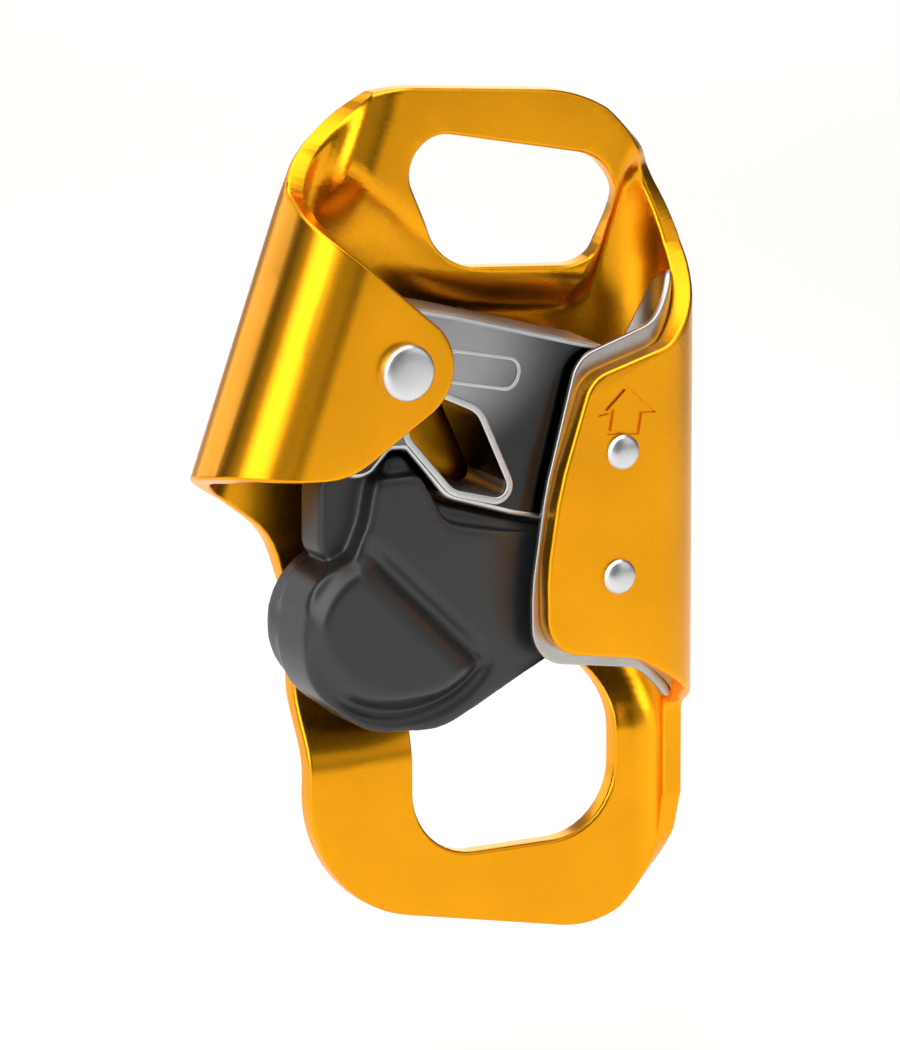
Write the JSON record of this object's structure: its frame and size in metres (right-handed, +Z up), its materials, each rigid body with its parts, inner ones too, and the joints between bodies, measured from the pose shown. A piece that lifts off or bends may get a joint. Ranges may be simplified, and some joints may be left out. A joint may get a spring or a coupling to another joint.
{
  "type": "rope grab",
  "caption": "Chest rope clamp: folded aluminium frame with a sprung toothed cam that grips a rope one way, and a moulded catch to open it.",
  "frame": {"origin": "centre of the lower attachment hole, at the back plate's rear plane", "axes": "+Z up along the rope channel, +Y out of the back face towards the wearer, +X towards the rope channel"},
  "size_m": [0.0766, 0.0239, 0.1261],
  "materials": {
    "anodised_aluminium": "satin gold anodised",
    "stainless_sheet": "polished edge",
    "zinc_plated_steel": "satin",
    "cast_steel": "tumbled and plated",
    "spring_steel": "drawn wire",
    "bronze": "turned",
    "nylon": "moulded, fine texture"
  },
  "bodies": {
    "frame_body": {"frame": "anodised_aluminium", "wear_plate": "stainless_sheet", "wear_plate_rivets": "zinc_plated_steel", "cam_axle": "zinc_plated_steel", "axle_sleeve": "zinc_plated_steel", "front_washer": "zinc_plated_steel", "cam_spring": "spring_steel"},
    "cam_body": {"cam": "cast_steel", "cam_bush": "bronze", "catch_pin": "zinc_plated_steel", "catch_pin_washer": "zinc_plated_steel"},
    "catch_body": {"catch_lever": "nylon", "catch_spring": "spring_steel"}
  },
  "joints": [
    {"name": "cam_pivot", "type": "hinge", "parent": "frame_body", "child": "cam_body", "pos_m": [-0.0255, -0.011, 0.062], "axis": [0, 1, 0], "range_deg": [0, 30], "stiffness_Nm_per_rad": 0.06, "springref_deg": -68.75},
    {"name": "catch_pivot", "type": "hinge", "parent": "cam_body", "child": "catch_body", "pos_m": [-0.03, -0.011, 0.0505], "axis": [0, 1, 0], "range_deg": [0, 10], "stiffness_Nm_per_rad": 0.02, "springref_deg": -57.3}
  ]
}
